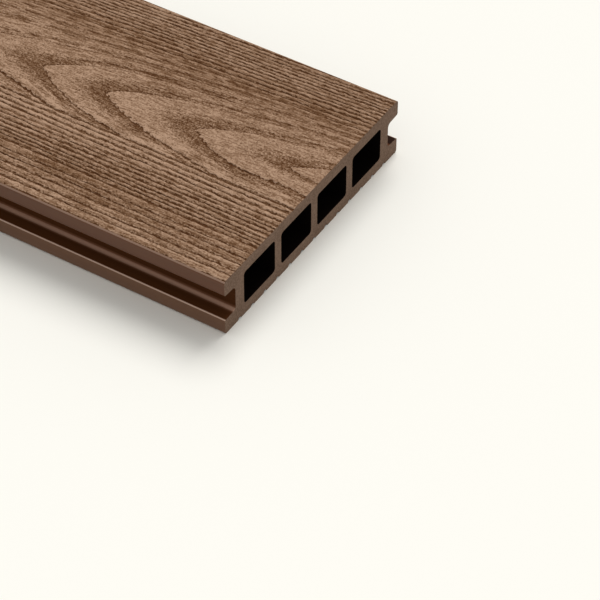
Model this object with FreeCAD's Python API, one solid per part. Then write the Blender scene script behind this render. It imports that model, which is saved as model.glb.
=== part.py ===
"""Hollow composite decking board with side clip grooves and a ribbed underside.

The board runs along X and is centred on X and Y. Its ribbed face lies on the floor at Z = 0,
and its wood-grain face is on top. Every length is in millimetres.
"""
import FreeCAD
import Part
import math
import os

# Stock size
board_length = 2200.0
board_width = 140.0
board_thickness = 30.0
face_edge_radius = 1.8          # long edges of the wood-grain face
rib_edge_radius = 1.2           # long edges of the ribbed face

# Hollow chambers and the walls round them
chamber_count = 4
top_wall = 6.2                  # over the chambers, under the wood-grain face
bottom_wall = 6.0               # under the chambers, measured to the flats of the ribs
web_thickness = 4.9             # between neighbouring chambers
side_wall = 6.4                 # between a clip groove and the nearest chamber
chamber_corner_radius = 1.8

# Clip grooves along both sides, between an upper and a lower lip
clip_groove_depth = 8.2
upper_lip_thickness = 8.3       # at the outer edge of the lip
lower_lip_thickness = 7.9
lip_thickening = 0.5            # how much thicker a lip is at its root
upper_root_radius = 2.3
lower_root_radius = 1.6
upper_lip_edge_radius = 1.0
lower_lip_edge_radius = 0.8

# Ribs and shallow grooves of the underside
rib_groove_count = 13
edge_rib_width = 10.0           # from the side of the board to the mouth of the first groove
rib_groove_mouth = 2.4
rib_groove_floor = 1.4
rib_groove_depth = 1.1
rib_shoulder_radius = 0.5       # rounding of a rib where it meets a groove
rib_groove_floor_radius = 0.4


def closed_outline(corners):
    """Join (y, z, radius) corners by straight runs, with a tangent arc at every corner."""
    arcs = []
    for index, (y, z, radius) in enumerate(corners):
        corner = FreeCAD.Vector(0, y, z)
        before = FreeCAD.Vector(0, *corners[index - 1][:2]) - corner
        after = FreeCAD.Vector(0, *corners[(index + 1) % len(corners)][:2]) - corner
        half_angle = before.getAngle(after) / 2
        before.normalize()
        after.normalize()
        run = radius / math.tan(half_angle)
        bisector = (before + after).normalize()
        nearest = radius / math.sin(half_angle) - radius
        arcs.append((corner + before * run, corner + bisector * nearest, corner + after * run))
    edges = []
    for index, (start, middle, end) in enumerate(arcs):
        edges.append(Part.Arc(start, middle, end).toShape())
        next_start = arcs[(index + 1) % len(arcs)][0]
        edges.append(Part.LineSegment(end, next_start).toShape())
    return Part.Wire(edges)


def rib_groove_corners(centre_y):
    """One shallow groove of the underside, from -Y to +Y."""
    half_mouth = rib_groove_mouth / 2
    half_floor = rib_groove_floor / 2
    return [
        (centre_y - half_mouth, 0, rib_shoulder_radius),
        (centre_y - half_floor, rib_groove_depth, rib_groove_floor_radius),
        (centre_y + half_floor, rib_groove_depth, rib_groove_floor_radius),
        (centre_y + half_mouth, 0, rib_shoulder_radius),
    ]


def clip_groove_corners():
    """The clip groove of the +Y side, from its lower lip up to its upper lip."""
    outer_y = board_width / 2
    root_y = outer_y - clip_groove_depth
    lower_z = lower_lip_thickness
    upper_z = board_thickness - upper_lip_thickness
    return [
        (outer_y, lower_z, lower_lip_edge_radius),
        (root_y, lower_z + lip_thickening, lower_root_radius),
        (root_y, upper_z - lip_thickening, upper_root_radius),
        (outer_y, upper_z, upper_lip_edge_radius),
    ]


def board_outline():
    """The outer edge of the section: ribbed underside, +Y side, top face, -Y side."""
    half_width = board_width / 2
    first_groove_y = -half_width + edge_rib_width + rib_groove_mouth / 2
    groove_pitch = -2 * first_groove_y / (rib_groove_count - 1)
    corners = [(-half_width, 0, rib_edge_radius)]
    for index in range(rib_groove_count):
        corners += rib_groove_corners(first_groove_y + index * groove_pitch)
    corners.append((half_width, 0, rib_edge_radius))
    side = clip_groove_corners()
    corners += side
    corners.append((half_width, board_thickness, face_edge_radius))
    corners.append((-half_width, board_thickness, face_edge_radius))
    corners += [(-y, z, radius) for y, z, radius in reversed(side)]
    return closed_outline(corners)


def chamber_outlines():
    """The rounded rectangles of the chambers, evenly spaced between the side walls."""
    hollow_width = board_width - 2 * (clip_groove_depth + side_wall)
    chamber_width = (hollow_width - (chamber_count - 1) * web_thickness) / chamber_count
    outlines = []
    for index in range(chamber_count):
        left = -hollow_width / 2 + index * (chamber_width + web_thickness)
        right = left + chamber_width
        outlines.append(closed_outline([
            (left, bottom_wall, chamber_corner_radius),
            (right, bottom_wall, chamber_corner_radius),
            (right, board_thickness - top_wall, chamber_corner_radius),
            (left, board_thickness - top_wall, chamber_corner_radius),
        ]))
    return outlines


def decking_board():
    """The extruded board, sawn square at both ends."""
    section = Part.makeFace([board_outline()] + chamber_outlines(), "Part::FaceMakerBullseye")
    section.translate(FreeCAD.Vector(-board_length / 2, 0, 0))
    return section.extrude(FreeCAD.Vector(board_length, 0, 0))


os.makedirs("parts", exist_ok=True)
board = decking_board()
board.exportStep("parts/board.step")
print("board volume", round(board.Volume / 1e6, 4), "litres, valid", board.isValid())
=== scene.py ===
import math

import bmesh
import bpy
from mathutils import Matrix, Vector


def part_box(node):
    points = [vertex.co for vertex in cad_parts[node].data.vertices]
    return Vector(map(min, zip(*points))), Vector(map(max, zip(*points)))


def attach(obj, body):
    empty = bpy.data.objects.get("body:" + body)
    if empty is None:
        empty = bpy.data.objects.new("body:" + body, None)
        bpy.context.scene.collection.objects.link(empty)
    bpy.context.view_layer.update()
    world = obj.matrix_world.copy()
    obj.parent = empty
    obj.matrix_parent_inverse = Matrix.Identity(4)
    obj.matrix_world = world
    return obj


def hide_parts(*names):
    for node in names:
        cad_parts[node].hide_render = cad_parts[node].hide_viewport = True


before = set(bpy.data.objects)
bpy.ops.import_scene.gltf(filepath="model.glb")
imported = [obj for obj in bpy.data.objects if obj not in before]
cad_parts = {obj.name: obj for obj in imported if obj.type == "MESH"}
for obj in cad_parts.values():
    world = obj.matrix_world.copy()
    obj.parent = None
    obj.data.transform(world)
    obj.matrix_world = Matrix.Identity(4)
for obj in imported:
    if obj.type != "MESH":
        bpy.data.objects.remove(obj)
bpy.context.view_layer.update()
boardLow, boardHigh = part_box("board")
mm = 0.001  # sizes below are in millimetres, and Blender works in metres
halfWidth = (boardHigh.y - boardLow.y) / 2 / mm
thickness = (boardHigh.z - boardLow.z) / mm
boardLength = (boardHigh.x - boardLow.x) / mm
print("frame loaded, board is", round(boardLength), "x", round(2 * halfWidth), "x", round(thickness), "mm")

# The board's section, in millimetres, as the CAD part has it
boardSizes = {
    "topEdgeRadius": 1.8,
    "ribEdgeRadius": 1.2,
    "chambers": 4,
    "topWall": 6.2,
    "bottomWall": 6.0,
    "webThickness": 4.9,
    "sideWall": 6.4,
    "chamberRadius": 1.8,
    "grooveDepth": 8.2,
    "upperLip": 8.3,
    "lowerLip": 7.9,
    "lipThickening": 0.5,
    "upperRootRadius": 2.3,
    "lowerRootRadius": 1.6,
    "upperLipRadius": 1.0,
    "lowerLipRadius": 0.8,
    "ribGrooves": 13,
    "edgeRib": 10.0,
    "ribMouth": 2.4,
    "ribFloor": 1.4,
    "ribDepth": 1.1,
    "ribShoulderRadius": 0.5,
    "ribFloorRadius": 0.4,
    "ribDarkFrom": 0.2,  # the height over the floor from which a rib groove is dark
    "lengths": 5,  # the mesh comes in this many equal lengths, to hold the relief of the grain
    "faceColumns": (20, 17),  # the grain face is split this often across, in two passes
    "faceRows": (65, 4),  # and this often along each length
    "roundFaces": (3, 2),  # faces round an edge, and so many more for each millimetre of its radius
    "straight": 1,  # points at which the outline turns by less than this, in degrees, go
    "smooth": 50,  # edges up to this angle are shaded smooth
    "grainOverEdge": 0.75,  # the grain runs over the top edges as far as they face upwards by this share
    "edgeUpwards": 0.45,  # faces of the sides that face upwards by more than this share are edges, which get the light tones of a painted highlight
    "endwards": 0.9,  # faces that face along the board by more than this share are its ends
}
closeEnough = 0.02  # millimetres between two places that count as one


def near(first, second):
    return abs(first - second) < closeEnough


def place(vertex):
    return vertex.co / mm


def pick(kind, test):
    # Selects the vertices, edges or faces of the mesh in edit mode that pass a test
    bpy.ops.mesh.select_mode(type={"verts": "VERT", "edges": "EDGE", "faces": "FACE"}[kind])
    bpy.ops.mesh.select_all(action="DESELECT")
    shape = bmesh.from_edit_mesh(bpy.context.object.data)
    for part in getattr(shape, kind):
        if test(part):
            part.select_set(True)
    shape.select_flush_mode()
    bmesh.update_edit_mesh(bpy.context.object.data)


def chamberSides():
    hollow = 2 * (halfWidth - boardSizes["grooveDepth"] - boardSizes["sideWall"])
    webs = (boardSizes["chambers"] - 1) * boardSizes["webThickness"]
    width = (hollow - webs) / boardSizes["chambers"]
    sides = []
    for index in range(boardSizes["chambers"]):
        left = -hollow / 2 + index * (width + boardSizes["webThickness"])
        sides.append((left, left + width))
    return sides


def ribGrooveCentres():
    first = -halfWidth + boardSizes["edgeRib"] + boardSizes["ribMouth"] / 2
    pitch = -2 * first / (boardSizes["ribGrooves"] - 1)
    return [first + index * pitch for index in range(boardSizes["ribGrooves"])]


def cutSection(startX):
    # A plane the size of the section is cut along every line of it, and its cells are moved or deleted
    bpy.ops.object.select_all(action="DESELECT")
    middle = (startX * mm, 0, thickness / 2 * mm)
    bpy.ops.mesh.primitive_plane_add(size=1, location=middle, rotation=(0, math.pi / 2, 0))
    bpy.ops.object.mode_set(mode="EDIT")
    bpy.ops.transform.resize(value=(1, 2 * halfWidth * mm, thickness * mm))
    bpy.ops.object.mode_set(mode="OBJECT")
    bpy.ops.object.transform_apply(location=True, rotation=True, scale=True)
    bpy.ops.object.mode_set(mode="EDIT")
    chamberFloor = boardSizes["bottomWall"]
    chamberRoof = thickness - boardSizes["topWall"]
    lowerMouth = boardSizes["lowerLip"]
    upperMouth = thickness - boardSizes["upperLip"]
    lowerRoot = lowerMouth + boardSizes["lipThickening"]
    upperRoot = upperMouth - boardSizes["lipThickening"]
    halfMouth = boardSizes["ribMouth"] / 2
    halfFloor = boardSizes["ribFloor"] / 2
    across = [side for sides in chamberSides() for side in sides]
    for centre in ribGrooveCentres():
        across += [centre - halfMouth, centre - halfFloor, centre + halfFloor, centre + halfMouth]
    for y in across:
        bpy.ops.mesh.select_all(action="SELECT")
        bpy.ops.mesh.bisect(plane_co=(startX * mm, y * mm, 0), plane_no=(0, 1, 0))
    for z in (chamberFloor, chamberRoof, lowerMouth, lowerRoot, upperRoot, upperMouth):
        bpy.ops.mesh.select_all(action="SELECT")
        bpy.ops.mesh.bisect(plane_co=(startX * mm, 0, z * mm), plane_no=(0, 0, 1))

    def inChamber(face):
        spot = face.calc_center_median() / mm
        inHeight = chamberFloor < spot.z < chamberRoof
        return inHeight and any(left < spot.y < right for left, right in chamberSides())

    def onRibFloor(vertex):
        spot = place(vertex)
        return near(spot.z, 0) and any(near(abs(spot.y - c), halfFloor) for c in ribGrooveCentres())

    pick("faces", inChamber)
    bpy.ops.mesh.delete(type="FACE")
    pick("verts", onRibFloor)
    bpy.ops.transform.translate(value=(0, 0, boardSizes["ribDepth"] * mm))
    for side in (-1, 1):
        pick("verts", lambda v: near(place(v).y, side * halfWidth)
             and (near(place(v).z, lowerRoot) or near(place(v).z, upperRoot)))
        bpy.ops.transform.translate(value=(0, -side * boardSizes["grooveDepth"] * mm, 0))
    # Only the outlines stay, without the points that the cuts left along straight runs
    pick("edges", lambda edge: len(edge.link_faces) == 2)
    bpy.ops.mesh.delete(type="EDGE")
    bpy.ops.mesh.select_mode(type="VERT")
    bpy.ops.mesh.select_all(action="SELECT")
    bpy.ops.mesh.delete_loose(use_verts=True, use_edges=False, use_faces=False)
    bpy.ops.mesh.select_all(action="SELECT")
    bpy.ops.mesh.dissolve_limited(angle_limit=math.radians(boardSizes["straight"]))


def cornerRadii():
    # Where the long edges of the board are, as (y, z, radius, turn of the section in degrees)
    sizes = boardSizes
    root = halfWidth - sizes["grooveDepth"]
    upperMouth = thickness - sizes["upperLip"]
    taper = math.degrees(math.atan(sizes["lipThickening"] / sizes["grooveDepth"]))
    slant = math.degrees(math.atan((sizes["ribMouth"] - sizes["ribFloor"]) / 2 / sizes["ribDepth"]))
    corners = []
    for side in (-1, 1):
        corners += [
            (side * halfWidth, thickness, sizes["topEdgeRadius"], 90),
            (side * halfWidth, 0, sizes["ribEdgeRadius"], 90),
            (side * halfWidth, upperMouth, sizes["upperLipRadius"], 90 - taper),
            (side * halfWidth, sizes["lowerLip"], sizes["lowerLipRadius"], 90 - taper),
            (side * root, upperMouth - sizes["lipThickening"], sizes["upperRootRadius"], 90 - taper),
            (side * root, sizes["lowerLip"] + sizes["lipThickening"], sizes["lowerRootRadius"], 90 - taper),
        ]
    for centre in ribGrooveCentres():
        for side in (-1, 1):
            shoulder = centre + side * sizes["ribMouth"] / 2
            floor = centre + side * sizes["ribFloor"] / 2
            corners.append((shoulder, 0, sizes["ribShoulderRadius"], 90 - slant))
            corners.append((floor, sizes["ribDepth"], sizes["ribFloorRadius"], 90 - slant))
    for sides in chamberSides():
        for y in sides:
            for z in (sizes["bottomWall"], thickness - sizes["topWall"]):
                corners.append((y, z, sizes["chamberRadius"], 90))
    return corners


def roundCorners():
    # The long edges are rounded together where they share a radius
    fewest, more = boardSizes["roundFaces"]
    groups = {}
    for y, z, radius, turn in cornerRadii():
        setback = radius * math.tan(math.radians(turn) / 2)
        groups.setdefault((radius, round(setback, 4)), []).append((y, z))
    for (radius, setback), places in groups.items():
        def onCorner(edge):
            first, second = (place(vertex) for vertex in edge.verts)
            alongBoard = near(first.y, second.y) and near(first.z, second.z)
            return alongBoard and any(near(first.y, y) and near(first.z, z) for y, z in places)

        pick("edges", onCorner)
        bpy.ops.mesh.bevel(offset=setback * mm, segments=fewest + round(more * radius), affect="EDGES")


def splitGrainFace():
    flatHalf = halfWidth - boardSizes["topEdgeRadius"]

    def acrossFace(edge):
        first, second = (place(vertex) for vertex in edge.verts)
        onTop = near(first.z, thickness) and near(second.z, thickness)
        return onTop and near(first.x, second.x) and abs(first.y) < flatHalf + closeEnough

    def alongFace(edge):
        first, second = (place(vertex) for vertex in edge.verts)
        overEdge = min(first.z, second.z) > thickness - boardSizes["topEdgeRadius"] + closeEnough
        return overEdge and near(first.y, second.y) and near(first.z, second.z)

    for parts in boardSizes["faceColumns"]:
        pick("edges", acrossFace)
        bpy.ops.mesh.subdivide(number_cuts=parts - 1)
    for parts in boardSizes["faceRows"]:
        pick("edges", alongFace)
        bpy.ops.mesh.subdivide(number_cuts=parts - 1)


def makeLength(startX, length):
    cutSection(startX)
    bpy.ops.mesh.select_all(action="SELECT")
    bpy.ops.mesh.extrude_region_move(TRANSFORM_OT_translate={"value": (length * mm, 0, 0)})
    bpy.ops.mesh.select_all(action="SELECT")
    bpy.ops.mesh.normals_make_consistent(inside=False)
    roundCorners()
    splitGrainFace()
    bpy.ops.object.mode_set(mode="OBJECT")
    return bpy.context.object


# The pattern of the grain. Lengths are in millimetres, and x is counted from the sawn end. How far a thing
# wanders or waves is the whole way from one side to the other. Where four values stand together, it goes from
# the third to the fourth of them between the first and the second
grain = {
    "apexEvery": 48,  # from one arch of the grain to the next, along the board
    "firstRing": 0.344,  # share of a ring between the sawn end and the last arch before it
    "farShift": (-108, -148, -0.28),  # between these two places the arches fall back by so much of a ring
    "wander": (-150, -500),  # between these two the pattern starts to wander
    "stretch": 1.5,  # how many rings the arches then wander along the board
    "axis": 5,  # how far the arches lie from the middle of the board
    "axisSway": 32,  # how far that line wanders
    "rowSway": 8,  # how far the rows wander against it
    "archRings": (0.028, 0.0012, 4.5e-5),  # rings for a millimetre from the axis, its square and its cube
    "archEdge": 46,  # from here on the rings of the arches are evenly spaced
    "edgeRings": 0.476,  # rings to a millimetre there
    "flatArm": (-45, 5, 0.5, -6, 0.8),  # between these x and these y the front arms bend out by 0.8 of a ring
    "rowsFrom": 17.5,  # the straight rows of the front side begin this far from the middle
    "rowSteps": ((0, 0.34), (11.7, 0.42), (28.5, 0.25)),  # rings to a millimetre from each of these places
    "rowCount": (1.0, 0.6),  # which row lies at rowsFrom, and the least one that isn't covered by the arches
    "rowUneven": 1.6,  # how unevenly the rows are spaced
    "rowBlend": 2.5,  # on both sides of the last step the widths change over this reach
    "rowWave": 2.4,  # how far rows and arches wave across the board
    "toothReach": (2.0, 1.0),  # how far small teeth move the rings along the board and across it
    "fineTooth": 0.8,  # the share of still smaller teeth
    "openRings": (0.1, 0.35),  # rings to a millimetre: open up to the first value, close from the second on
    "lineWidth": (1.15, 1.05),  # of the dark groove that ends a ring, where rings are open and where close
    "lineFull": 0.65,  # share of that width over which it is full
    "lineUneven": 0.3,  # how much its width changes along it
    "lineRagged": 0.35,  # how ragged its edge is
    "raggedStep": 0.12,  # the smaller, the sharper its teeth
    "lineStrength": (0.78, 0.22, 0.25),  # of all rings, what some have more, and the change along each
    "lineLeast": 0.1,  # and it is never weaker than this
    "betweenWidth": 0.6,  # of the thin broken grooves between two others
    "betweenFull": 0.4,  # share of that width over which they are full
    "betweenUneven": 3.0,
    "betweenDepth": 0.3,
    "betweenPlace": (0.1, 0.25, 0.72, 0.5),  # where in a ring they lie, by the rings to a millimetre
    "betweenOpen": (0.05, 0.09),  # they begin between these rings to a millimetre
    "betweenClose": (0.42, 0.3),  # and are gone again between these
    "betweenAside": (4, 16, 0.55, 0.9),  # their strength before and behind the axis
    "brokenFrom": (3, 9),  # the back arms are broken lines between these distances from the axis
    "brokenTo": (40, 34),
    "broken": (-0.12, 0.16, 0.1, 0.5),  # the strength of a broken line, by its noise
    "slowFall": (0.3, 0.4),  # a ring falls slowly from 0.3 of it on, by 0.4 of the depth
    "depth": 0.55,  # of the relief
    "fade": 1.0,  # the relief runs out over this strip beside the rounded edges
    "noises": {  # length along the board, breadth across it, detail and a shift of its own
        "wave": (60, 15, 2.0, 3.1),
        "tooth": (3.4, 1.6, 0.0, 7.7),
        "fineTooth": (1.5, 1.1, 0.0, 17.7),
        "ragged": (1.4, 1.0, 1.0, 11.3),
        "dashes": (13, 2.2, 2.0, 6.6),
        "between": (12, 3, 1.0, 4.9),
        "patches": (90, 30, 2.0, 8.1),
        "fibres": (5, 0.8, 2.0, 5.3),
        "pits": (0.8, 0.75, 0.5, 1.7),
        "specks": (0.85, 0.65, 0.0, 9.4),
        "armDashes": (14, 0.1, 1.0, 2.4),  # the breadth of these two is counted in rings
        "rowDashes": (6, 0.4, 1.0, 12.4),
    },
    "lineNoises": {  # length and shift of those that change along one line only
        "sway": (260, 0.0),
        "stretch": (120, 4.4),
        "rowGaps": (6, 9.2),
    },
}


def addNode(tree, kind, **settings):
    node = tree.nodes.new(kind)
    for name, value in settings.items():
        setattr(node, name, value)
    return node


def feed(tree, socket, source):
    # Links a socket to another one, or sets it to a plain value
    if isinstance(source, bpy.types.NodeSocket):
        tree.links.new(source, socket)
    else:
        socket.default_value = source


def calc(tree, operation, *terms):
    node = addNode(tree, "ShaderNodeMath", operation=operation)
    for socket, term in zip(node.inputs, terms):
        feed(tree, socket, term)
    return node.outputs[0]


def vectorCalc(tree, operation, *terms):
    node = addNode(tree, "ShaderNodeVectorMath", operation=operation)
    for socket, term in zip(node.inputs, terms):
        feed(tree, socket, term)
    return node.outputs[0]


def ease(tree, value, start, end, low=0.0, high=1.0):
    # A smooth step from low at start to high at end
    node = addNode(tree, "ShaderNodeMapRange", interpolation_type="SMOOTHSTEP")
    for socket, term in zip(node.inputs, (value, start, end, low, high)):
        feed(tree, socket, term)
    return node.outputs[0]


def total(tree, start, *parts):
    # Adds up parts, each a socket and its weight
    result = start
    for part, weight in parts:
        result = calc(tree, "MULTIPLY_ADD", part, weight, result)
    return result


def blend(tree, first, second, share):
    # From the first value to the second
    gap = calc(tree, "MULTIPLY", calc(tree, "SUBTRACT", second, first), share)
    return calc(tree, "ADD", gap, first)


def sharpen(tree, noise, start, end):
    # Brings a noise closer to the two levels -0.5 and 0.5
    return ease(tree, noise, start, end, -0.5, 0.5)


def waves(tree, vector, name):
    # Noise from about -0.5 to 0.5, with lumps of the size that the grain has under this name
    length, breadth, detail, shift = grain["noises"][name]
    sizes = (1 / length, 1 / breadth, 1)
    scaled = vectorCalc(tree, "MULTIPLY_ADD", vector, sizes, (shift, shift, shift))
    node = addNode(tree, "ShaderNodeTexNoise", noise_dimensions="3D")
    feed(tree, node.inputs["Vector"], scaled)
    feed(tree, node.inputs["Scale"], 1.0)
    feed(tree, node.inputs["Detail"], detail)
    return calc(tree, "SUBTRACT", node.outputs[0], 0.5)


def wavesAlong(tree, value, name):
    # The same along one line only
    length, shift = grain["lineNoises"][name]
    node = addNode(tree, "ShaderNodeTexNoise", noise_dimensions="1D")
    feed(tree, node.inputs["W"], calc(tree, "MULTIPLY_ADD", value, 1 / length, shift))
    feed(tree, node.inputs["Scale"], 1.0)
    feed(tree, node.inputs["Detail"], 1.0)
    return calc(tree, "SUBTRACT", node.outputs[0], 0.5)


def addGrainRings(tree, position, isFine):
    # Rings of the grain at a place of the board. The same nodes shape the mesh and colour the face,
    # and the colours have finer teeth than the mesh can hold
    spot = vectorCalc(tree, "MULTIPLY", position, (1 / mm, 1 / mm, 0))
    split = addNode(tree, "ShaderNodeSeparateXYZ")
    feed(tree, split.inputs[0], spot)
    wave = waves(tree, spot, "wave")
    tooth = waves(tree, spot, "tooth")
    if isFine:
        tooth = total(tree, tooth, (waves(tree, spot, "fineTooth"), grain["fineTooth"]))
    fromEnd = calc(tree, "SUBTRACT", split.outputs[0], boardHigh.x / mm)
    toothAlong, toothAcross = grain["toothReach"]
    along = total(tree, fromEnd, (tooth, toothAlong))
    across = total(tree, split.outputs[1], (wave, grain["rowWave"]), (tooth, toothAcross))
    # Far from the sawn end the arches wander
    away = ease(tree, fromEnd, *grain["wander"])
    sway = calc(tree, "MULTIPLY", wavesAlong(tree, fromEnd, "sway"), away)
    stretch = calc(tree, "MULTIPLY", wavesAlong(tree, fromEnd, "stretch"), away)
    startX, endX, shift = grain["farShift"]
    fallsBack = ease(tree, fromEnd, startX, endX, 0.0, shift)
    arch = total(tree, grain["firstRing"], (along, 1 / grain["apexEvery"]))
    arch = total(tree, arch, (stretch, grain["stretch"]), (fallsBack, 1.0))
    # Arches: rings lie ever closer away from the axis, up to about two millimetres
    axis = total(tree, grain["axis"], (sway, grain["axisSway"]))
    aside = calc(tree, "SUBTRACT", across, axis)
    distance = calc(tree, "ABSOLUTE", aside)
    inner = calc(tree, "MINIMUM", distance, grain["archEdge"])
    outer = calc(tree, "SUBTRACT", distance, inner)
    plain, square, cube = grain["archRings"]
    rings = total(tree, square, (inner, cube))
    rings = calc(tree, "MULTIPLY_ADD", rings, inner, plain)
    rings = calc(tree, "MULTIPLY", rings, inner)
    rings = total(tree, rings, (outer, grain["edgeRings"]))
    startX, endX, startY, endY, bend = grain["flatArm"]
    flat = ease(tree, fromEnd, startX, endX)
    flat = calc(tree, "MULTIPLY", flat, ease(tree, aside, startY, endY, 0.0, bend))
    arches = total(tree, arch, (rings, -1.0), (flat, -1.0))
    # Straight rows on the front side of the board
    drift = total(tree, across, (sway, grain["rowSway"]))
    inRows = calc(tree, "SUBTRACT", -grain["rowsFrom"], drift)
    uneven = total(tree, inRows, (wavesAlong(tree, inRows, "rowGaps"), grain["rowUneven"]))
    firstRow, leastRow = grain["rowCount"]
    pace = grain["rowSteps"][0][1]
    rows = total(tree, firstRow, (uneven, pace))
    for start, nextPace in grain["rowSteps"][1:]:
        beyond = calc(tree, "MAXIMUM", calc(tree, "SUBTRACT", uneven, start), 0.0)
        rows = total(tree, rows, (beyond, nextPace - pace))
        pace = nextPace
    isRow = calc(tree, "GREATER_THAN", rows, leastRow)
    phase = blend(tree, arches, rows, isRow)
    # Rings to a millimetre, across the grain
    slopeArches = total(tree, 2 * square, (inner, 3 * cube))
    slopeArches = calc(tree, "MULTIPLY_ADD", slopeArches, inner, plain)
    lastStart, lastPace = grain["rowSteps"][-1]
    paceBefore = grain["rowSteps"][-2][1]
    reach = grain["rowBlend"]
    slopeRows = ease(tree, uneven, lastStart - reach, lastStart + reach, paceBefore, lastPace)
    slope = blend(tree, slopeArches, slopeRows, isRow)
    shade = addNode(tree, "ShaderNodeTexWhiteNoise", noise_dimensions="1D")
    feed(tree, shade.inputs["W"], calc(tree, "FLOOR", phase))
    return {
        "spot": spot,
        "along": split.outputs[0],
        "across": split.outputs[1],
        "aside": aside,
        "phase": phase,
        "ring": calc(tree, "FRACT", phase),
        "slope": slope,
        "random": shade.outputs["Value"],
    }


def addRelief(tree, rings, isFine):
    # Each ring falls slowly and ends in a ragged groove with a steep far side
    spot = rings["spot"]
    slope = rings["slope"]
    toEdge = calc(tree, "DIVIDE", calc(tree, "SUBTRACT", 1.0, rings["ring"]), slope)
    ragged = 0.0
    if isFine:
        ragged = sharpen(tree, waves(tree, spot, "ragged"), -grain["raggedStep"], grain["raggedStep"])
    dashes = waves(tree, spot, "dashes")
    reach = total(tree, toEdge, (ragged, grain["lineRagged"]), (dashes, -grain["lineUneven"]))
    width = ease(tree, slope, *grain["openRings"], *grain["lineWidth"])
    line = ease(tree, calc(tree, "DIVIDE", reach, width), grain["lineFull"], 1.0, 1.0, 0.0)
    # Rings differ in strength, and the back arms are broken into dashes
    isBroken = ease(tree, rings["aside"], *grain["brokenFrom"])
    isBroken = calc(tree, "MULTIPLY", isBroken, ease(tree, rings["aside"], *grain["brokenTo"]))
    least, byRing, byPlace = grain["lineStrength"]
    solid = total(tree, least, (rings["random"], byRing), (dashes, byPlace))
    dashed = ease(tree, dashes, *grain["broken"])
    strength = blend(tree, solid, dashed, isBroken)
    strength = calc(tree, "MINIMUM", calc(tree, "MAXIMUM", strength, grain["lineLeast"]), 1.0)
    line = calc(tree, "MULTIPLY", line, strength)
    # Thin broken grooves lie between those that stand far apart
    middle = ease(tree, slope, *grain["betweenPlace"])
    toMiddle = calc(tree, "ABSOLUTE", calc(tree, "SUBTRACT", rings["ring"], middle))
    toMiddle = calc(tree, "DIVIDE", toMiddle, slope)
    parts = waves(tree, spot, "between")
    reach = total(tree, toMiddle, (ragged, grain["lineRagged"]), (parts, -grain["betweenUneven"]))
    width = grain["betweenWidth"]
    between = ease(tree, reach, grain["betweenFull"] * width, width, 1.0, 0.0)
    farApart = ease(tree, slope, *grain["betweenClose"])
    farApart = calc(tree, "MULTIPLY", farApart, ease(tree, slope, *grain["betweenOpen"]))
    between = calc(tree, "MULTIPLY", between, farApart)
    between = calc(tree, "MULTIPLY", between, ease(tree, rings["aside"], *grain["betweenAside"]))
    slowFrom, slowShare = grain["slowFall"]
    slowFall = calc(tree, "MULTIPLY", ease(tree, rings["ring"], slowFrom, 1.0), slowShare)
    fall = total(tree, slowFall, (line, 1 - slowShare), (between, grain["betweenDepth"]))
    return line, between, fall


def makeReliefNodes():
    tree = bpy.data.node_groups.new("grainRelief", "GeometryNodeTree")
    tree.interface.new_socket("Geometry", in_out="INPUT", socket_type="NodeSocketGeometry")
    tree.interface.new_socket("Geometry", in_out="OUTPUT", socket_type="NodeSocketGeometry")
    start = addNode(tree, "NodeGroupInput")
    end = addNode(tree, "NodeGroupOutput")
    position = addNode(tree, "GeometryNodeInputPosition")
    rings = addGrainRings(tree, position.outputs[0], False)
    fall = addRelief(tree, rings, False)[2]
    full = addNode(tree, "ShaderNodeSeparateXYZ")
    feed(tree, full.inputs[0], position.outputs[0])
    flatHalf = (halfWidth - boardSizes["topEdgeRadius"]) * mm
    side = calc(tree, "ABSOLUTE", full.outputs[1])
    beside = ease(tree, side, flatHalf - grain["fade"] * mm, flatHalf, 1.0, 0.0)
    onFace = calc(tree, "GREATER_THAN", full.outputs[2], (thickness - closeEnough) * mm)
    share = calc(tree, "MULTIPLY", beside, onFace)
    down = calc(tree, "MULTIPLY", calc(tree, "MULTIPLY", fall, share), -grain["depth"] * mm)
    offset = addNode(tree, "ShaderNodeCombineXYZ")
    feed(tree, offset.inputs[2], down)
    move = addNode(tree, "GeometryNodeSetPosition")
    feed(tree, move.inputs["Geometry"], start.outputs[0])
    feed(tree, move.inputs["Offset"], offset.outputs[0])
    feed(tree, end.inputs[0], move.outputs[0])
    return tree


def pressGrain(piece, reliefNodes):
    bpy.context.view_layer.objects.active = piece
    bpy.ops.object.modifier_add(type="NODES")
    piece.modifiers[-1].node_group = reliefNodes
    bpy.ops.object.modifier_apply(modifier=piece.modifiers[-1].name)


def closeEnds(piece, startX, endX):
    bpy.ops.object.select_all(action="DESELECT")
    piece.select_set(True)
    bpy.context.view_layer.objects.active = piece
    bpy.ops.object.mode_set(mode="EDIT")
    for x in (startX, endX):
        pick("edges", lambda edge: edge.is_boundary and all(near(place(v).x, x) for v in edge.verts))
        bpy.ops.mesh.fill()
    bpy.ops.mesh.select_all(action="SELECT")
    bpy.ops.mesh.normals_make_consistent(inside=False)
    bpy.ops.object.mode_set(mode="OBJECT")
    bpy.ops.object.shade_smooth_by_angle(angle=math.radians(boardSizes["smooth"]))


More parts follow.
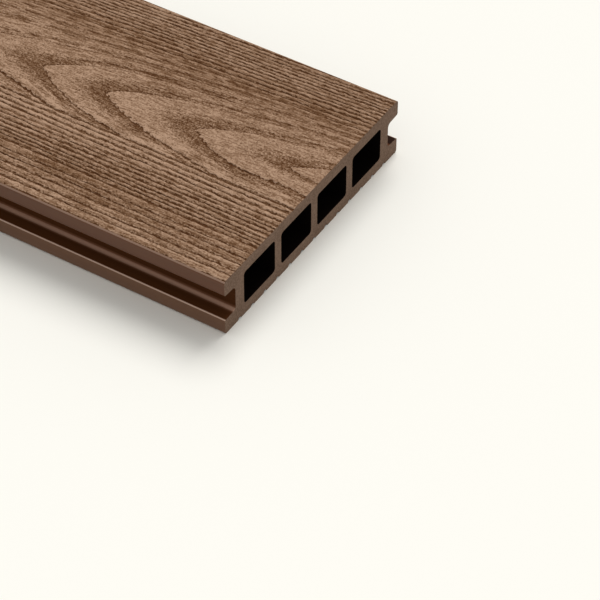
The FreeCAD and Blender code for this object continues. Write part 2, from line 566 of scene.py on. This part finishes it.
def faceFinish(face):
    # Which of the board's finishes a face has, by its place and normal
    sizes = boardSizes
    centre = face.center / mm
    side = abs(centre.y)
    if abs(face.normal.x) > sizes["endwards"]:
        return "sawnEnd"
    overFloor = centre.z > sizes["bottomWall"] - closeEnough
    underRoof = centre.z < thickness - sizes["topWall"] + closeEnough
    # The walls of the closed chambers get near-black painted shade
    if overFloor and underRoof and side < halfWidth - sizes["grooveDepth"] - sizes["sideWall"] / 2:
        return "chamberWall"
    onFlat = side < halfWidth - sizes["topEdgeRadius"]
    underTop = thickness - sizes["topEdgeRadius"]
    if centre.z > underTop and (onFlat or face.normal.z > sizes["grainOverEdge"]):
        return "embossedGrain"
    if centre.z < sizes["ribDepth"] + closeEnough and side < halfWidth - sizes["ribEdgeRadius"]:
        return "brushedRib" if centre.z < sizes["ribDarkFrom"] else "ribGroove"
    # The groove between the lips gets painted shade, with a painted highlight at the foot of its wall
    if centre.z < underTop and side < halfWidth - sizes["lowerLipRadius"]:
        return "clipGroove"
    # The lower lip's face gets a lighter copy of the side as painted light
    isLower = centre.z < sizes["lowerLip"]
    if face.normal.z < sizes["edgeUpwards"]:
        return "lowerSidePaintedLight" if isLower else "extrudedSide"
    # Upward-facing rounded edges get the light tones of a painted highlight
    return "lipEdgePaintedHighlight" if isLower else "topEdge"


def makeBoard(finishes):
    length = boardLength / boardSizes["lengths"]
    reliefNodes = makeReliefNodes()
    slots = list(finishes)
    for index in range(boardSizes["lengths"]):
        startX = -boardLength / 2 + index * length
        piece = makeLength(startX, length)
        piece.name = "boardLength" + str(index + 1)
        piece.data.name = piece.name
        pressGrain(piece, reliefNodes)
        closeEnds(piece, startX, startX + length)
        for material in finishes.values():
            piece.data.materials.append(material)
        for face in piece.data.polygons:
            face.material_index = slots.index(faceFinish(face))
        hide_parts("board")
        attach(piece, "root")
        print(piece.name, "made,", sum(len(face.vertices) - 2 for face in piece.data.polygons), "triangles")


def colour(red, green, blue):
    # A colour as it prints, from 0 to 255
    def linear(part):
        part = part / 255
        return part / 12.92 if part < 0.04045 else ((part + 0.055) / 1.055) ** 2.4

    return (linear(red), linear(green), linear(blue), 1.0)


def newMaterial(name, finish):
    material = bpy.data.materials.new(name)
    material.use_nodes = True
    tree = material.node_tree
    shader = tree.nodes["Principled BSDF"]
    shader.inputs["Roughness"].default_value = finish["roughness"]
    shader.inputs["Specular IOR Level"].default_value = finish["gloss"]
    coordinates = addNode(tree, "ShaderNodeTexCoord")
    return material, tree, shader, coordinates.outputs["Object"]


def colourRamp(tree, value, tones):
    # The tones lie evenly between 0 and 1
    node = addNode(tree, "ShaderNodeValToRGB")
    ramp = node.color_ramp
    while len(ramp.elements) < len(tones):
        ramp.elements.new(0.5)
    for index, tone in enumerate(tones):
        ramp.elements[index].position = index / (len(tones) - 1)
        ramp.elements[index].color = tone
    feed(tree, node.inputs[0], value)
    return node.outputs[0]


def bump(tree, height, distance):
    node = addNode(tree, "ShaderNodeBump")
    feed(tree, node.inputs["Strength"], 1.0)
    feed(tree, node.inputs["Distance"], distance)
    feed(tree, node.inputs["Height"], height)
    return node.outputs[0]


grainFinish = {
    "tones": (colour(181, 148, 122), colour(147, 115, 90), colour(114, 82, 56), colour(82, 49, 23)),
    "roughness": 0.8,
    "gloss": 0.08,
    "bump": 0.4,
    # Tone of a smooth place, from 0, light, to 1, dark, and how much darker each of the others makes it
    "plain": 0.225,
    "closeRings": 0.05,
    "slowFall": 0.22,
    "line": 0.62,
    "between": 0.4,
    "pits": 0.3,
    "dashes": 0.26,
    "rowDashes": 0.12,  # the share of the dashes in the rows
    "fibres": 1.2,
    "specks": 0.32,
    "patches": 0.22,
    # A painted highlight: a lighter tone just past the edge of each dark groove
    "litEdge": -0.1,
    "bands": ((-49, 14, 0.12), (-22, 12, -0.12), (28, 22, 0.12), (45, 15, 0.1)),  # middle, reach, strength
    # Where each is strong and where weak, by the rings to a millimetre, the distance from the axis,
    # the share of a ring or the millimetres past its edge. A step is how sharply a noise turns over
    "closeFrom": (0.05, 0.35),
    "archLines": (0.03, 0.12, 0.5, 0.85),
    "rowLines": (0.2, 0.32, 0.0, 0.1),
    "slowRings": (0.04, 0.16, 1.0, 0.15),
    "slowAside": (4, 16, 1.0, 0.4),
    "slowFrom": (0.35, 0.9),
    "pitDensity": (-0.18, 0.27, 0.12),  # in a smooth place, more as the ring falls, and more in a patch
    "pitStep": 0.03,
    "speckStep": 0.1,
    "speckAside": (20, 40, 1.0, 0.5),
    "speckRings": (0.2, 0.4, 1.0, 0.7),
    "speckShade": (0.8, 0.3),  # of the specks in a smooth place, and more as the ring falls
    "armStep": (-0.1, 0.16),
    "armAside": (-8, 8, 1.7, 0.9),
    "armRings": (0.05, 0.1),
    "rowStep": 0.14,
    "rowRings": (0.2, 0.3),
    "litReach": (0.3, 1.1),
    "heights": {"fall": -0.5, "fibres": -0.8, "specks": -0.2, "pits": -0.3, "dashes": -0.2},  # in the bump
}


def grainMaterial():
    finish = grainFinish
    material, tree, shader, position = newMaterial("embossedGrain", finish)
    rings = addGrainRings(tree, position, True)
    line, between, fall = addRelief(tree, rings, True)
    spot = rings["spot"]
    slope = rings["slope"]
    aside = rings["aside"]
    patches = waves(tree, spot, "patches")
    fibres = waves(tree, spot, "fibres")
    # Pits get denser as the ring falls
    openRing = ease(tree, slope, *finish["slowRings"])
    openRing = calc(tree, "MULTIPLY", openRing, ease(tree, aside, *finish["slowAside"]))
    slowShade = calc(tree, "MULTIPLY", ease(tree, rings["ring"], *finish["slowFrom"]), openRing)
    smooth, byFall, byPatch = finish["pitDensity"]
    density = total(tree, smooth, (slowShade, byFall), (patches, byPatch))
    pits = calc(tree, "ADD", waves(tree, spot, "pits"), density)
    pits = ease(tree, pits, -finish["pitStep"], finish["pitStep"])
    specks = sharpen(tree, waves(tree, spot, "specks"), -finish["speckStep"], finish["speckStep"])
    specks = calc(tree, "MULTIPLY", specks, ease(tree, aside, *finish["speckAside"]))
    specks = calc(tree, "MULTIPLY", specks, ease(tree, slope, *finish["speckRings"]))
    smooth, byFall = finish["speckShade"]
    specks = calc(tree, "MULTIPLY", specks, total(tree, smooth, (slowShade, byFall)))
    # Dashes run along the rings where these are close
    follow = addNode(tree, "ShaderNodeCombineXYZ")
    feed(tree, follow.inputs[0], rings["along"])
    feed(tree, follow.inputs[1], rings["phase"])
    rowsStart, rowsEnd = finish["rowRings"]
    armDashes = sharpen(tree, waves(tree, follow.outputs[0], "armDashes"), *finish["armStep"])
    armDashes = calc(tree, "MULTIPLY", armDashes, ease(tree, aside, *finish["armAside"]))
    inArms = ease(tree, slope, *finish["armRings"])
    inArms = calc(tree, "MULTIPLY", inArms, ease(tree, slope, rowsEnd, rowsStart))
    armDashes = calc(tree, "MULTIPLY", armDashes, inArms)
    rowDashes = waves(tree, follow.outputs[0], "rowDashes")
    rowDashes = sharpen(tree, rowDashes, -finish["rowStep"], finish["rowStep"])
    rowDashes = calc(tree, "MULTIPLY", rowDashes, ease(tree, slope, rowsStart, rowsEnd))
    dashes = total(tree, armDashes, (rowDashes, finish["rowDashes"]))
    lineTone = ease(tree, slope, *finish["archLines"])
    lineTone = calc(tree, "ADD", lineTone, ease(tree, slope, *finish["rowLines"]))
    sinceEdge = calc(tree, "DIVIDE", rings["ring"], slope)
    bands = 0.0
    for middle, reach, strength in finish["bands"]:
        offset = calc(tree, "ABSOLUTE", calc(tree, "SUBTRACT", rings["across"], middle))
        bands = calc(tree, "ADD", bands, ease(tree, offset, 0.0, reach, strength, 0.0))
    tone = total(
        tree,
        finish["plain"],
        (ease(tree, slope, *finish["closeFrom"]), finish["closeRings"]),
        (slowShade, finish["slowFall"]),
        (calc(tree, "MULTIPLY", line, lineTone), finish["line"]),
        (between, finish["between"]),
        (pits, finish["pits"]),
        (dashes, finish["dashes"]),
        (fibres, finish["fibres"]),
        (specks, finish["specks"]),
        (patches, finish["patches"]),
        (bands, 1.0),
        # painted highlight just past each groove's edge
        (ease(tree, sinceEdge, *finish["litReach"], 1.0, 0.0), finish["litEdge"]),
    )
    feed(tree, shader.inputs["Base Color"], colourRamp(tree, tone, finish["tones"]))
    heights = finish["heights"]
    height = calc(tree, "MULTIPLY", fall, heights["fall"])
    height = total(tree, height, (fibres, heights["fibres"]), (specks, heights["specks"]))
    height = total(tree, height, (pits, heights["pits"]), (dashes, heights["dashes"]))
    feed(tree, shader.inputs["Normal"], bump(tree, height, finish["bump"] * mm))
    return material


def makeStreakNodes():
    # Streaks along the board, from 0 to 1, that all finishes but the grain share
    tree = bpy.data.node_groups.new("streaks", "ShaderNodeTree")
    tree.interface.new_socket("Position", in_out="INPUT", socket_type="NodeSocketVector")
    for name in ("Length", "Breadth", "Shift"):
        tree.interface.new_socket(name, in_out="INPUT", socket_type="NodeSocketFloat")
    tree.interface.new_socket("Streaks", in_out="OUTPUT", socket_type="NodeSocketFloat")
    start = addNode(tree, "NodeGroupInput")
    end = addNode(tree, "NodeGroupOutput")
    size = addNode(tree, "ShaderNodeCombineXYZ")
    feed(tree, size.inputs[0], start.outputs["Length"])
    feed(tree, size.inputs[1], start.outputs["Breadth"])
    feed(tree, size.inputs[2], start.outputs["Breadth"])
    inSizes = vectorCalc(tree, "DIVIDE", start.outputs["Position"], size.outputs[0])
    scaled = vectorCalc(tree, "SCALE", inSizes)
    feed(tree, scaled.node.inputs["Scale"], 1 / mm)
    shift = addNode(tree, "ShaderNodeCombineXYZ")
    feed(tree, shift.inputs[0], start.outputs["Shift"])
    noise = addNode(tree, "ShaderNodeTexNoise", noise_dimensions="3D")
    feed(tree, noise.inputs["Vector"], vectorCalc(tree, "ADD", scaled, shift.outputs[0]))
    feed(tree, noise.inputs["Scale"], 1.0)
    feed(tree, noise.inputs["Detail"], 2.0)
    feed(tree, end.inputs["Streaks"], noise.outputs[0])
    return tree


# The plain finishes: two tones, two sizes of streak (length, breadth and share of the tone), gloss and bump
smoothSkin = {
    "fine": (120, 0.5, 0.9),
    "wide": (40, 8, 0.8),
    "bump": 0.02,
}
plainFinishes = {
    "extrudedSide": {
        **smoothSkin,
        "tones": (colour(89, 51, 24), colour(105, 62, 33)),
        "roughness": 0.34,
        "gloss": 0.3,
    },
    # A lighter copy of the side for the lower lip's face: painted light against the shade near the floor
    "lowerSidePaintedLight": {
        **smoothSkin,
        "tones": (colour(106, 72, 50), colour(124, 88, 63)),
        "roughness": 0.34,
        "gloss": 0.3,
    },
    # Painted highlight along the rounded outer edge of the lower lip
    "lipEdgePaintedHighlight": {
        **smoothSkin,
        "tones": (colour(187, 154, 132), colour(217, 184, 162)),
        "roughness": 0.3,
        "gloss": 0.5,
    },
    # Painted highlight along the rounded top edges
    "topEdge": {
        **smoothSkin,
        "tones": (colour(139, 104, 83), colour(165, 130, 108)),
        "roughness": 0.3,
        "gloss": 0.5,
    },
    "sawnEnd": {
        "tones": (colour(107, 84, 66), colour(146, 119, 99)),
        "fine": (0.8, 0.8, 1.9),
        "wide": (12, 12, 0.6),
        "roughness": 0.9,
        "gloss": 0.2,
        "bump": 0.1,
    },
    "brushedRib": {
        "tones": (colour(109, 74, 45), colour(173, 133, 96)),
        "fine": (5, 0.9, 1.3),
        "wide": (90, 6, 0.6),
        "roughness": 0.65,
        "gloss": 0.3,
        "bump": 0.08,
    },
    "ribGroove": {
        **smoothSkin,
        "tones": (colour(74, 44, 27), colour(97, 62, 41)),
        "roughness": 0.6,
        "gloss": 0.2,
    },
    # Near black: painted shade inside the closed chambers
    "chamberWall": {
        "tones": (colour(11, 7, 6), colour(19, 14, 11)),
        "fine": (60, 0.8, 1.0),
        "wide": (90, 12, 0.5),
        "roughness": 0.9,
        "gloss": 0.0,
        "bump": 0.02,
    },
}
streakShifts = {"fine": 3.3, "wide": 6.1}  # so that the two sizes of streak don't begin together


def streaks(tree, position, streakGroup, finish, name):
    # The streaks of one size and their share of the tone
    length, breadth, share = finish[name]
    node = addNode(tree, "ShaderNodeGroup", node_tree=streakGroup)
    feed(tree, node.inputs["Position"], position)
    feed(tree, node.inputs["Length"], length)
    feed(tree, node.inputs["Breadth"], breadth)
    feed(tree, node.inputs["Shift"], streakShifts[name])
    return node.outputs["Streaks"], share


def plainMaterial(name, streakGroup):
    finish = plainFinishes[name]
    material, tree, shader, position = newMaterial(name, finish)
    fine, fineShare = streaks(tree, position, streakGroup, finish, "fine")
    wide, wideShare = streaks(tree, position, streakGroup, finish, "wide")
    start = 0.5 - 0.5 * fineShare - 0.5 * wideShare  # on average the tone then lies halfway
    tone = total(tree, start, (fine, fineShare), (wide, wideShare))
    feed(tree, shader.inputs["Base Color"], colourRamp(tree, tone, finish["tones"]))
    feed(tree, shader.inputs["Normal"], bump(tree, fine, finish["bump"] * mm))
    return material


# The inside of the groove is painted dark as the shade under the upper lip, with a painted highlight at the
# foot of its wall
grooveFinish = {
    "tones": (colour(39, 20, 11), colour(79, 45, 23), colour(115, 77, 55), colour(201, 161, 137)),
    "roughness": 0.6,
    "gloss": 0.02,
    "bump": 0.02,
    "fine": (120, 0.5, 0.14),
    "plain": 0.26,  # tone of the wall, from 0, dark, to 1, light; its dark tones are painted shade under the upper lip
    "paintedFootHighlight": 0.68,  # how much lighter its foot is, a painted highlight where the rounded foot would catch the light
    "back": -0.4,  # and how much darker the whole groove at the back is, as painted shade
    "darkFrom": 10.5,  # the painted highlight is strongest just over the lower lip, and the wall darkens with painted shade up to this height
    "lightAt": 7.9,
    "shelfReach": (3.3, 1.3),  # and out to the first of these distances from the wall
}


def grooveMaterial(streakGroup):
    finish = grooveFinish
    material, tree, shader, position = newMaterial("clipGroove", finish)
    split = addNode(tree, "ShaderNodeSeparateXYZ")
    feed(tree, split.inputs[0], position)
    height = calc(tree, "MULTIPLY", split.outputs[2], 1 / mm)
    root = (halfWidth - boardSizes["grooveDepth"]) * mm
    fromRoot = calc(tree, "SUBTRACT", calc(tree, "ABSOLUTE", split.outputs[1]), root)
    fromRoot = calc(tree, "MULTIPLY", fromRoot, 1 / mm)
    # Painted highlight at the foot of the wall, fading up the wall and out over the lower lip
    paintedFootHighlight = ease(tree, height, finish["darkFrom"], finish["lightAt"])
    paintedFootHighlight = calc(tree, "MULTIPLY", paintedFootHighlight, ease(tree, fromRoot, *finish["shelfReach"]))
    fine, fineShare = streaks(tree, position, streakGroup, finish, "fine")
    # Painted shade over the whole groove at the back of the board
    isBack = calc(tree, "GREATER_THAN", split.outputs[1], 0.0)
    tone = total(tree, finish["plain"], (paintedFootHighlight, finish["paintedFootHighlight"]), (fine, fineShare), (isBack, finish["back"]))
    feed(tree, shader.inputs["Base Color"], colourRamp(tree, tone, finish["tones"]))
    feed(tree, shader.inputs["Normal"], bump(tree, fine, finish["bump"] * mm))
    return material


# Light, floor and camera
studio = {
    "background": colour(255, 253, 245),
    "skyLight": 0.546,  # the even light from all sides
    "floorBounce": 0.58,  # share of the light on the floor that goes back to the board
    "keyStrength": 1.741,
    "keyAngle": 35,  # how soft the key light is, in degrees
    "keyAzimuth": 190,  # where it comes from, in degrees like the camera's
    "keyElevation": 55,
    "floorSize": 12.0,
}


def studioColour(tree, level):
    # The pale background where it is looked at, also in a reflection, and a plain grey as light on the board
    path = addNode(tree, "ShaderNodeLightPath")
    seen = calc(tree, "MAXIMUM", path.outputs["Is Camera Ray"], path.outputs["Is Glossy Ray"])
    seen = calc(tree, "MAXIMUM", seen, path.outputs["Is Transmission Ray"])
    # 6 and 7 are the node's two colours, and output 2 is the mixed one
    mix = addNode(tree, "ShaderNodeMix", data_type="RGBA")
    feed(tree, mix.inputs["Factor"], seen)
    feed(tree, mix.inputs[6], (level, level, level, 1.0))
    feed(tree, mix.inputs[7], studio["background"])
    return mix.outputs[2]


def makeWorld():
    world = bpy.data.worlds.new("studio")
    bpy.context.scene.world = world
    world.use_nodes = True
    tree = world.node_tree
    feed(tree, tree.nodes["Background"].inputs["Color"], studioColour(tree, studio["skyLight"]))


def makeFloor():
    bpy.ops.object.select_all(action="DESELECT")
    bpy.ops.mesh.primitive_plane_add(size=studio["floorSize"], location=(0, 0, 0))
    floor = bpy.context.object
    floor.name = "studioFloor"
    material = bpy.data.materials.new("paleFloor")
    material.use_nodes = True
    tree = material.node_tree
    shader = tree.nodes["Principled BSDF"]
    feed(tree, shader.inputs["Base Color"], studioColour(tree, studio["floorBounce"]))
    shader.inputs["Roughness"].default_value = 1.0
    shader.inputs["Specular IOR Level"].default_value = 0.0
    floor.data.materials.append(material)


def direction(azimuth, elevation):
    # The way from the board to a light or camera. An azimuth of 0 is straight in front of the board
    azimuth = math.radians(azimuth)
    elevation = math.radians(elevation)
    return Vector((
        math.sin(azimuth) * math.cos(elevation),
        -math.cos(azimuth) * math.cos(elevation),
        math.sin(elevation),
    ))


def makeLights():
    toLight = direction(studio["keyAzimuth"], studio["keyElevation"])
    bpy.ops.object.light_add(type="SUN", location=toLight)
    key = bpy.context.object
    key.name = "keyLight"
    key.rotation_euler = toLight.to_track_quat("Z", "Y").to_euler()
    key.data.energy = studio["keyStrength"]
    key.data.angle = math.radians(studio["keyAngle"])


# The camera stands where the photograph was taken from, found from the board's own corners
view = {
    "azimuth": 32.105,
    "elevation": 43.810,
    "roll": 0.273,
    "lens": 156.9,
    "distance": 1139.2,  # to the bottom middle of the sawn end, along the view
    "endRight": 6.09,  # where that point is in the picture, from its middle
    "endUp": 26.44,
    "sensor": 36,
    "clip": (0.05, 50),  # in metres, the nearest and the farthest that it sees
}


def makeCamera():
    azimuth = math.radians(view["azimuth"])
    roll = math.radians(view["roll"])
    right = Vector((math.cos(azimuth), math.sin(azimuth), 0))
    back = direction(view["azimuth"], view["elevation"])
    up = back.cross(right)
    turnedRight = math.cos(roll) * right + math.sin(roll) * up
    turnedUp = back.cross(turnedRight)
    endMiddle = Vector((boardHigh.x, 0, 0))
    fromEnd = back * view["distance"] - turnedRight * view["endRight"] - turnedUp * view["endUp"]
    bpy.ops.object.camera_add(location=endMiddle + fromEnd * mm)
    camera = bpy.context.object
    camera.name = "photoCamera"
    camera.rotation_euler = Matrix((turnedRight, turnedUp, back)).transposed().to_euler()
    camera.data.lens = view["lens"]
    camera.data.sensor_width = view["sensor"]
    camera.data.clip_start, camera.data.clip_end = view["clip"]
    bpy.context.scene.camera = camera


streakGroup = makeStreakNodes()
boardFinishes = {"embossedGrain": grainMaterial(), "clipGroove": grooveMaterial(streakGroup)}
for name in plainFinishes:
    boardFinishes[name] = plainMaterial(name, streakGroup)
print(len(boardFinishes), "finishes made")
makeBoard(boardFinishes)
makeWorld()
makeFloor()
makeLights()
makeCamera()
bpy.context.scene.view_settings.view_transform = "Standard"
print("floor, light and camera made")
